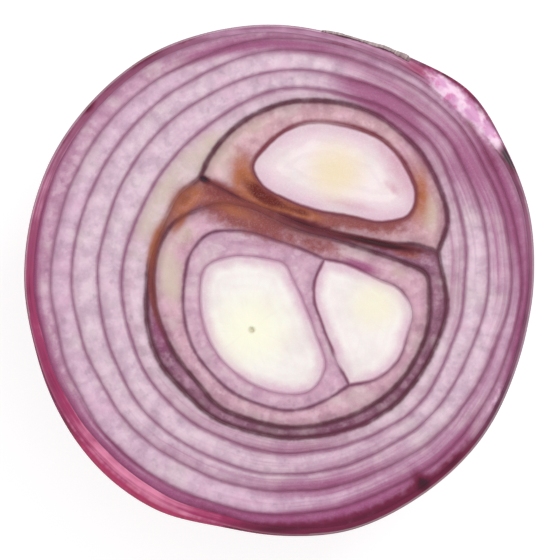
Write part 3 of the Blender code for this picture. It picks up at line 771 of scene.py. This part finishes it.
def mottled(f, n, light, shade, streaked):
    """The flesh's own colour, clouded, and streaked along its fibres."""
    grey = tuple(0.84 * c for c in shade)
    bright = tuple(0.55 * c + 0.45 * w for c, w in zip(light, (252, 232, 240)))
    return f.layered(
        f.mix(f.span(n.patches, 0.35, 0.65), light, shade),
        (n.bands, 0.5, 0.7, 0.4, shade),
        (n.streaks, 0.45, 0.75, streaked, grey),
        (n.spots, 0.5, 0.32, 0.45, bright),
        (n.spots, 0.55, 0.75, 0.5, grey),
        (n.streaks, 0.5, 0.25, 0.6 * streaked, bright),
        (n.blush, 0.52, 0.7, 0.3, (226, 216, 210)),
        (n.blush, 0.46, 0.3, 0.3, (226, 176, 204)),
    )


def stained(f, n, colour, plum):
    """A colour with the ivory, plum, rusty and orange zones over it, and how rusty or orange it is."""
    colour = f.mix(f.times(f.zone("ivory", n.patches), 0.8), colour, IVORY)
    colour = f.mix(f.times(plum, 0.85), colour, PLUM)
    rust = f.zone("rust", n.ragged)
    rusty = f.layered(RUST, (n.spots, 0.5, 0.7, 0.35, RUSTY_PINK))
    colour = f.mix(f.times(rust, 0.92), colour, rusty)
    stain = f.shaken(f.fact("stain"), n.patches, 0.25)
    orange = f.span(stain, 0.02, 0.6)
    colour = f.mix(orange, colour, f.layered(STAIN, (n.spots, 0.48, 0.66, 0.4, RUSTY_PINK)))
    return f.mix(f.span(stain, 0.55, 0.95), colour, DEEP_STAIN), f.sum(rust, orange)


def lined(f, n, colour, lines, soaking, plum, browned):
    """A colour with the lines at a scale's two edges over it, and what soaks from them into the flesh."""
    for (fact, (reach, soaked)), (line, width, strength) in zip(SOAKS.items(), lines):
        away = f.shaken(f.fact(fact), n.ragged, 0.35)
        tint = f.mix(f.times(plum, 0.8), line, PLUM_LINE)
        tint = f.mix(f.times(browned, 0.5), tint, STAIN_LINE)
        colour = f.layered(colour, (away, width + reach, width, soaking * soaked * strength, tint))
        uneven = f.span(n.patches, 0.25, 0.6, 0.75 * strength, strength)
        amount = f.times(f.span(away, width + 0.36, width - 0.16), uneven)
        amount = f.times(amount, f.span(browned, 0.2, 1.2, 1.0, 0.75))
        amount = f.times(amount, f.span(f.fact("faint"), 0.1, 0.9, 1.0, 0.2))
        colour = f.mix(amount, colour, tint)
    return colour


def flesh_finish(name, light, shade, *lines, streaked=0.15, bruises=BROWN_BRUISES, soaking=1.0):
    """Wet scale flesh with its outer and its inner line."""
    f = Finish(name, **WET)
    n = flesh_noises(f)
    plum = f.zone("plum", n.bands)
    colour, browned = stained(f, n, mottled(f, n, light, shade, streaked), plum)
    colour = f.layered(colour, (n.cells, 0.45, 0.75, 0.06, (255, 246, 252)))
    colour = lined(f, n, colour, lines, soaking, plum, browned)
    ridges = f.bump(n.streaks, 0.12 * MM, 0.5)
    return f.link(
        Base_Color=bruises_marks_and_painted_light(f, colour, n.ragged, bruises),
        Normal=f.bump(n.cells, 0.05 * MM, 0.5, ridges),
        Roughness=f.span(n.patches, 0.3, 0.7, 0.28, 0.42),
    )


def heart_finish(name, cream, yolk, line, leafy=0.06, rosy=2.4, pip=None):
    """Young leaves: lilac at the edge, yellow in the middle, and a growing point of a size if it shows."""
    f = Finish(name, **WET)
    patches, clouds, cells = f.noise(420, 3.0, 0.6), f.noise(190), f.noise(5200, 1.0)
    streaks = f.fibrous((1.5, 1.5, 0.3))
    edge = f.fact("outer_mm")
    uneven = f.shaken(edge, patches, 1.6)
    across = f.node("CombineXYZ", {"X": uneven}).outputs[0]
    leaves = f.node("TexWave", {"Vector": across, "Scale": 0.17}).outputs["Fac"]
    colour = f.layered(
        f.mix(f.span(uneven, 0.2, rosy), (222, 186, 204), cream),
        (clouds, 0.42, 0.7, 0.5, (228, 216, 216)),
        (leaves, 0.4, 1.0, leafy, (214, 184, 196)),
    )
    colour = f.mix(f.times(f.zone("plum", patches), 0.6), colour, (204, 136, 162))
    place, yellow, size = yolk
    from_yolk = f.node("VectorMath", {0: f.place, 1: (*place, CUT_HEIGHT)}, operation="DISTANCE").outputs[1]
    colour = f.layered(
        colour,
        (f.shaken(from_yolk, patches, 1.5 * MM), size, 0.1 * size, 0.9, yellow),
        (streaks, 0.5, 0.8, 0.12, (222, 206, 214)),
        (cells, 0.45, 0.75, 0.15, (255, 252, 248)),
    )
    if pip:
        colour = f.layered(colour, (from_yolk, pip, 0.3 * pip, 0.5, GROWING_POINT))
    tint, width, strength = line
    near = f.span(f.shaken(edge, patches, 0.3), width + 0.34, width - 0.12)
    shown = f.span(f.fact("faint"), 0.1, 0.9, strength, 0.2)
    ridges = f.bump(leaves, 0.04 * MM, 0.4)
    return f.link(
        Base_Color=f.mix(f.times(near, shown), colour, tint),
        Normal=f.bump(cells, 0.05 * MM, 0.5, ridges),
    )


def side_colour(f, tone, mauve, depth, veins, patches):
    """The streaked crimson of the side, brighter under a light rim and faded under a mauve one."""
    threads = f.fibrous((4.2, 4.2, 0.05), 2.0, 0.5)
    side = f.layered(
        f.mix(f.span(veins, 0.36, 0.62), (134, 28, 76), (84, 10, 42)),
        (patches, 0.45, 0.75, 0.5, (156, 62, 112)),
        (threads, 0.56, 0.68, 0.45, (66, 8, 34)),
        (threads, 0.42, 0.32, 0.35, (182, 92, 138)),
    )
    lit = f.times(f.span(tone, 0.45, 0.8), f.span(depth, 0.14, 0.04))
    side = f.mix(f.times(lit, 0.6), side, (198, 70, 112))
    faded = f.span(f.shaken(depth, veins, 0.3), 0.24, 0.04)
    return f.mix(f.times(mauve, faded), side, (138, 92, 120))


def skin_finish():
    """Glossy purple-red skin with fine veins from rim to root, dull and tan at the root."""
    f = Finish(
        "skin", Roughness=0.34, Specular_IOR_Level=0.3, Coat_Weight=0.08, Coat_Roughness=0.2,
        Subsurface_Weight=0.06, Subsurface_Radius=(1.0, 0.3, 0.4), Subsurface_Scale=0.5 * MM,
    )
    tone, mauve, depth, cut = (f.fact(n) for n in ("tone", "mauve", "depth", "cut"))
    rings = f.fibrous((0.22, 0.22, 2.2))
    veins = f.fibrous((1.5, 1.5, 0.03), 4.0, 0.65)
    patches, ragged = f.noise(260, 3.0, 0.6), f.noise(900, 3.0, 0.6)
    uneven = f.shaken(f.shaken(tone, f.mix(cut, veins, rings), 0.9), patches, 0.5)
    dark, body, light = (f.mix(mauve, *tints) for tints in (SKIN_DARK, SKIN_BODY, SKIN_LIGHT))
    colour = f.mix(f.span(uneven, -0.05, 0.5), dark, body)
    colour = f.mix(f.span(uneven, 0.5, 1.0), colour, light)
    side = side_colour(f, tone, mauve, depth, veins, patches)
    colour = f.mix(f.span(f.shaken(depth, patches, 0.015), 0.01, 0.03), colour, side)
    colour = bruises_marks_and_painted_light(f, colour, ragged, BRUISES, f.span(depth, 0.055, 0.03))
    tan = f.mix(f.span(veins, 0.35, 0.65), (214, 176, 142), (150, 96, 74))
    rim_gloss, side_gloss = f.span(depth, 0.02, 0.0, 0.0, 0.25), f.span(depth, 0.13, 0.25, 0.0, 0.3)
    return f.link(
        Base_Color=f.mix(f.span(f.shaken(depth, veins, 0.25), 0.8, 1.0), colour, tan),
        Normal=f.bump(veins, 0.15 * MM, 0.5),
        Roughness=f.span(depth, 0.6, 1.0, 0.3, 0.6),
        Specular_IOR_Level=f.sum(rim_gloss, side_gloss),
    )


def ring_piece(name, number, finish):
    """The scale between a nested line and the next one inside it."""
    angle = np.linspace(0, 2 * math.pi, RING_SIDES, endpoint=False)
    shares = [*PLATE_SHARES, GROUP_SHARE]
    outlines = [ring_radius(n)(angle)[:, None] * directions(angle) for n in (number, number + 1)]
    ends = [np.full(RING_SIDES, shares[n]) for n in (number, number + 1)]
    return add_piece(name, ring_mesh(*outlines, *ends, outermost=number == 0), finish)


def core_piece(name, outer, curve, centre, finish):
    """The scale between an outline and a closed curve inside it."""
    inner = seen_from(centre, outer, curve)
    add_piece(name, ring_mesh(outer, inner, group_share(outer), group_share(inner), centre), finish)


def add_skin_tones(made):
    """Stores on the outermost scale how its colour runs round the rim."""
    angle, _ = polar(np.array([v.co for v in made.data.vertices]))
    at, tones, mauves = np.array(SKIN_TONES).T
    for key, values in (("tone", tones), ("mauve", mauves)):
        store(made.data, key, np.interp(np.degrees(angle), at, values, period=360))


def nested_scales():
    """The outermost scale with its skin, and the five fleshy ones inside it."""
    add_skin_tones(ring_piece("outer_scale", 0, skin_finish()))
    for number, (light, shade, *lines) in enumerate(SCALES, start=1):
        finish = flesh_finish(f"flesh_{number}", light, shade, *lines, streaked=0.35, bruises=BRUISES)
        ring_piece(f"scale_{number}", number, finish)


def upper_bulb(outline):
    """The upper daughter bulb: its stained scale and its heart."""
    heart = spline(in_metres(UPPER_HEART), closed=True)
    lines = DARK_LINE, HEART_LINE
    flesh = flesh_finish("upper_bulb_flesh", (221, 178, 186), (198, 154, 166), *lines, streaked=0.06)
    core_piece("upper_bulb_scale", outline, heart, UPPER_CENTRE, flesh)
    cream = heart_finish("upper_heart_cream", (246, 232, 234), UPPER_YOLK, HEART_LINE, leafy=0.14, rosy=4.2)
    within = evenly(heart, CORE_SPACING, closed=True)
    add_piece("upper_heart", heart_mesh(within, UPPER_TIP), cream)


def lower_bulb(outline):
    """The lower daughter bulb: two scales round two hearts, the left one in a lilac scale of its own."""
    thin_inside = spline(in_metres(THIN_SCALE_INSIDE), closed=True)
    arcs = HEARTS_LEFT_SIDE, HEARTS_RIGHT_SIDE, DIVIDER
    left_side, right_side, divider = (spline(in_metres(arc)) for arc in arcs)
    left_heart = spline(in_metres(LEFT_HEART), closed=True)
    both_hearts = np.vstack([left_side[:-1], right_side[:-1]])

    lines = DARK_LINE, DARK_LINE
    flesh = flesh_finish("thin_scale_flesh", (160, 108, 134), (134, 80, 110), *lines, streaked=0.2)
    core_piece("lower_thin_scale", outline, thin_inside, LOWER_CENTRE, flesh)
    within = evenly(thin_inside, CORE_SPACING, closed=True)
    flesh = flesh_finish("lower_bulb_flesh", (216, 172, 188), (196, 150, 168), DARK_LINE, BULB_LINE)
    core_piece("lower_scale", within, both_hearts, LOWER_CENTRE, flesh)

    around_left = joined(left_side, divider[::-1])
    lines = BULB_LINE, SOFT_LINE
    flesh = flesh_finish("left_heart_lilac", (214, 174, 194), (196, 154, 178), *lines, soaking=0.3)
    core_piece("left_heart_scale", around_left, left_heart, LEFT_CENTRE, flesh)
    cream = heart_finish("left_heart_cream", (248, 242, 238), LEFT_YOLK, SOFT_LINE, pip=GROWING_POINT_SIZE)
    within = evenly(left_heart, CORE_SPACING, closed=True)
    add_piece("left_heart", heart_mesh(within, LEFT_TIP, DIMPLE), cream)
    cream = heart_finish("right_heart_cream", (248, 240, 238), RIGHT_YOLK, RIGHT_HEART_LINE)
    add_piece("right_heart", heart_mesh(joined(right_side, divider), RIGHT_TIP), cream)


def daughter_bulbs():
    """Everything inside the nested scales. The two bulbs share the upper edge of the band between them."""
    above = np.array(in_metres(SEPTUM)) + np.array([0, SEPTUM_HALF_WIDTH])
    band = spline([GROUP_TOP_ARC[-1], *above, GROUP_TOP_ARC[0]])
    upper_bulb(joined(GROUP_TOP_ARC, band))
    lower_bulb(joined(GROUP_BOTTOM_ARC, band[::-1]))


def paper_finish():
    """Thin dry onion skin, greyish mauve with fine brown veins."""
    f = Finish("dry_skin", Roughness=0.5, Coat_Weight=0.1, Coat_Roughness=0.4)
    veins = f.fibrous((2.6, 2.6, 0.05), 4.0, 0.65)
    colour = f.layered(
        f.mix(f.span(f.noise(500, 3.0, 0.6), 0.35, 0.65), (168, 138, 142), (112, 76, 82)),
        (veins, 0.42, 0.62, 0.85, (78, 42, 48)),
        (veins, 0.44, 0.3, 0.5, (206, 180, 170)),
    )
    return f.link(Base_Color=colour, Normal=f.bump(veins, 0.1 * MM, 0.7))


def ragged_line(draw, low, high):
    """An uneven run of depths between low and high, smooth in the large and torn in the small."""
    at = np.linspace(0, 1, SCRAP_COLUMNS)
    coarse, fine = (
        np.interp(at, np.linspace(0, 1, count), [draw.random() for _ in range(count)]) for count in (9, 40)
    )
    return low + (high - low) * (0.65 * coarse + 0.35 * fine)


def scrap_points():
    """The scrap's points by column, on the outside of the onion, and what its finish reads there."""
    draw = random.Random(SEED)
    angle = np.linspace(*[math.radians(a) for a in SCRAP_ANGLES], SCRAP_COLUMNS)
    around = directions(angle)
    rows = fibres(rim_radius(angle)[:, None] * around, np.ones(SCRAP_COLUMNS), FINE_STEPS, rounded=True)
    depth = depth_along(rows)
    top = ragged_line(draw, *SCRAP_TOP)
    torn = ragged_line(draw, *SCRAP_TORN_EDGE)
    along = np.linspace(0, 1, SCRAP_COLUMNS)
    taper = np.clip(8 * np.minimum(along, np.linspace(1, 0, SCRAP_COLUMNS)), 0.04, 1)
    torn = top + (torn - top) * taper**0.6
    share = np.linspace(0, 1, SCRAP_ROWS)
    points, grain = [], []
    for i in range(SCRAP_COLUMNS):
        at = top[i] + (torn[i] - top[i]) * share
        point = np.stack([np.interp(at, depth[:, i], rows[:, i, k]) for k in range(3)], axis=1)
        ripple = SCRAP_RIPPLE * np.sin(5 * share + 40 * angle[i])
        lift = SCRAP_LIFT + SCRAP_CURL * share**4 * taper[i] + ripple
        point[:, :2] += (lift - OUTSIDE_INSET)[:, None] * around[i]
        points.append(point)
        grain.append(np.column_stack([np.full(SCRAP_ROWS, angle[i] * RIM_MM), np.zeros(SCRAP_ROWS), at]))
    return np.vstack(points), np.vstack(grain)


def dry_skin_scrap():
    """A torn bit of the papery outer skin, which clings to the outside just under the rim."""
    points, grain = scrap_points()
    corners = np.arange(SCRAP_COLUMNS * SCRAP_ROWS).reshape(SCRAP_COLUMNS, SCRAP_ROWS)
    square = [corners[:-1, :-1], corners[:-1, 1:], corners[1:, 1:], corners[1:, :-1]]
    faces = np.stack([c.ravel() for c in square], axis=1).tolist()
    mesh = bpy.data.meshes.new("mesh")
    mesh.from_pydata(settle(points, 0.0).tolist(), [], faces)
    store(mesh, "grain", grain)
    made = add_piece("dry_skin_scrap", mesh, paper_finish())
    thickness = made.modifiers.new("Thickness", "SOLIDIFY")
    thickness.thickness = SCRAP_THICKNESS
    thickness.offset = 0.0


def root_finish():
    """Dry fibrous root plate and trimmed roots, tan with brown creases and pale cut ends."""
    f = Finish("root", Roughness=0.8)
    patches, fibre = f.noise(600, 4.0, 0.65), f.noise(2600, 3.0, 0.6)
    colour = f.mix(f.span(patches, 0.3, 0.7), (204, 182, 146), (158, 126, 90))
    colour = f.layered(colour, (fibre, 0.4, 0.7, 0.6, (112, 82, 58)))
    colour = f.mix(f.span(f.shaken(f.fact("along"), patches, 0.4), 0.6, 1.0), colour, (226, 208, 176))
    return f.link(Base_Color=colour, Normal=f.bump(fibre, 0.15 * MM, 0.8))


def plate_profile():
    """The root plate's radius and height, from the middle of its top to the middle of its foot."""
    top = [(PLATE_RADIUS * s, plate_height(s) - GAP_OVER_PLATE) for s in np.linspace(0.02, 1, 26)]
    edge = [(PLATE_RADIUS - 0.5 * MM, 1.2 * MM), (FOOT_RADIUS + 1.1 * MM, 0.45 * MM), (FOOT_RADIUS, 0.0)]
    foot = [(FOOT_RADIUS * s, 0.0) for s in (0.85, 0.6, 0.3, 0.05)]
    return [*top, *edge, *foot]


def root_path(draw):
    """One thin trimmed root, bent down towards the floor: its points, and its half width at each."""
    heading = draw.uniform(0, 2 * math.pi)
    thick = draw.uniform(*ROOT_RADIUS)
    start = draw.uniform(*ROOT_START_HEIGHT) * MM
    end = max(thick * 1.1, start - draw.uniform(*ROOT_DROP) * MM)
    reach = draw.uniform(*ROOT_REACH)
    sway, swing = draw.uniform(-1, 1) * ROOT_BEND, draw.uniform(0, 2 * math.pi)
    out = Vector((math.cos(heading), math.sin(heading), 0))
    sideways = Vector((-out.y, out.x, 0))
    points, widths = [], []
    for t in ROOT_SHARES:
        radius = ROOT_START + (reach - ROOT_START) * t
        side = sway * t**2 + ROOT_WIGGLE * math.sin(swing + 4 * t)
        points.append(out * radius + sideways * side + Vector((0, 0, start + (end - start) * t**1.5)))
        widths.append(thick * (1 - 0.35 * t) * (1 + 0.12 * math.sin(swing + 9 * t)))
    return points, widths


def mesh_of(shape):
    mesh = bpy.data.meshes.new("mesh")
    shape.to_mesh(mesh)
    shape.free()
    return mesh


def join_loops(shape, upper, lower):
    """Faces between two loops with the same number of points."""
    for i in range(len(upper)):
        j = (i + 1) % len(upper)
        shape.faces.new((upper[i], upper[j], lower[j], lower[i]))


def add_root(shape, along_layer, draw):
    """Adds one root, sunk well into the plate's side. Points stay above the floor."""
    points, widths = root_path(draw)
    loops = []
    for i, (point, wide) in enumerate(zip(points, widths)):
        ahead = points[min(i + 1, len(points) - 1)] - points[max(i - 1, 0)]
        turn = ahead.to_track_quat("Z", "Y")
        loop = []
        for k in range(ROOT_SIDES):
            a = 2 * math.pi * k / ROOT_SIDES
            place = point + turn @ Vector((wide * math.cos(a), wide * math.sin(a), 0))
            vert = shape.verts.new((place.x, place.y, max(place.z, 0.0)))
            vert[along_layer] = ROOT_SHARES[i]
            loop.append(vert)
        loops.append(loop)
    for low, high in zip(loops, loops[1:]):
        join_loops(shape, low, high)
    shape.faces.new(loops[0][::-1])
    shape.faces.new(loops[-1])


def root_plate():
    """The root plate with its relief, and the tuft of trimmed roots round it."""
    draw = random.Random(SEED)
    shape = bmesh.new()
    along_layer = shape.verts.layers.float.new("along")
    rings = []
    for radius, height in plate_profile():
        ring = []
        for i in range(PLATE_SIDES):
            a = 2 * math.pi * i / PLATE_SIDES
            ridge = PLATE_RELIEF * math.sin(17 * a + 900 * radius) * math.sin(23 * a) if height > 0 else 0.0
            out = radius + ridge
            ring.append(shape.verts.new((out * math.cos(a), out * math.sin(a), height)))
        rings.append(ring)
    for upper, lower in zip(rings, rings[1:]):
        join_loops(shape, upper, lower)
    shape.faces.new(rings[0])
    shape.faces.new(rings[-1][::-1])
    for _ in range(ROOT_COUNT):
        add_root(shape, along_layer, draw)
    bmesh.ops.recalc_face_normals(shape, faces=shape.faces)
    add_piece("root_plate", mesh_of(shape), root_finish())


def add_floor():
    """A plain pale floor that glows a little, so that it stays pale under the soft light."""
    shape = bmesh.new()
    bmesh.ops.create_grid(shape, x_segments=1, y_segments=1, size=FLOOR_SIZE)
    floor = add_object("floor", mesh_of(shape))
    glow = {"Emission_Color": WHITE, "Emission_Strength": FLOOR_GLOW}
    floor.data.materials.append(Finish("floor", Roughness=0.9, Base_Color=FLOOR_GREY, **glow).material)


def add_light():
    """Soft white light from all round, and two lamps that give the onion its shape."""
    world = bpy.data.worlds.new("studio")
    bpy.context.scene.world = world
    world.use_nodes = True
    sky = world.node_tree.nodes["Background"].inputs
    sky["Color"].default_value, sky["Strength"].default_value = WHITE, SKY_STRENGTH
    for name, place, size, power in LAMPS:
        lamp = bpy.data.lights.new(name, "AREA")
        lamp.size, lamp.energy = size, power
        holder = add_object(name, lamp)
        holder.location = place
        holder.rotation_euler = (-Vector(place)).to_track_quat("-Z", "Y").to_euler()


def add_camera():
    """A camera straight above the cut face, as the photograph was taken."""
    camera = add_object("camera", bpy.data.cameras.new("camera"))
    camera.location = (0, 0, CUT_HEIGHT + CAMERA_DISTANCE)
    camera.data.lens = camera.data.sensor_width * CAMERA_DISTANCE / PICTURE_WIDTH
    bpy.context.scene.camera = camera
    bpy.context.scene.view_settings.view_transform = "Standard"


nested_scales()
daughter_bulbs()
dry_skin_scrap()
root_plate()
add_floor()
add_light()
add_camera()
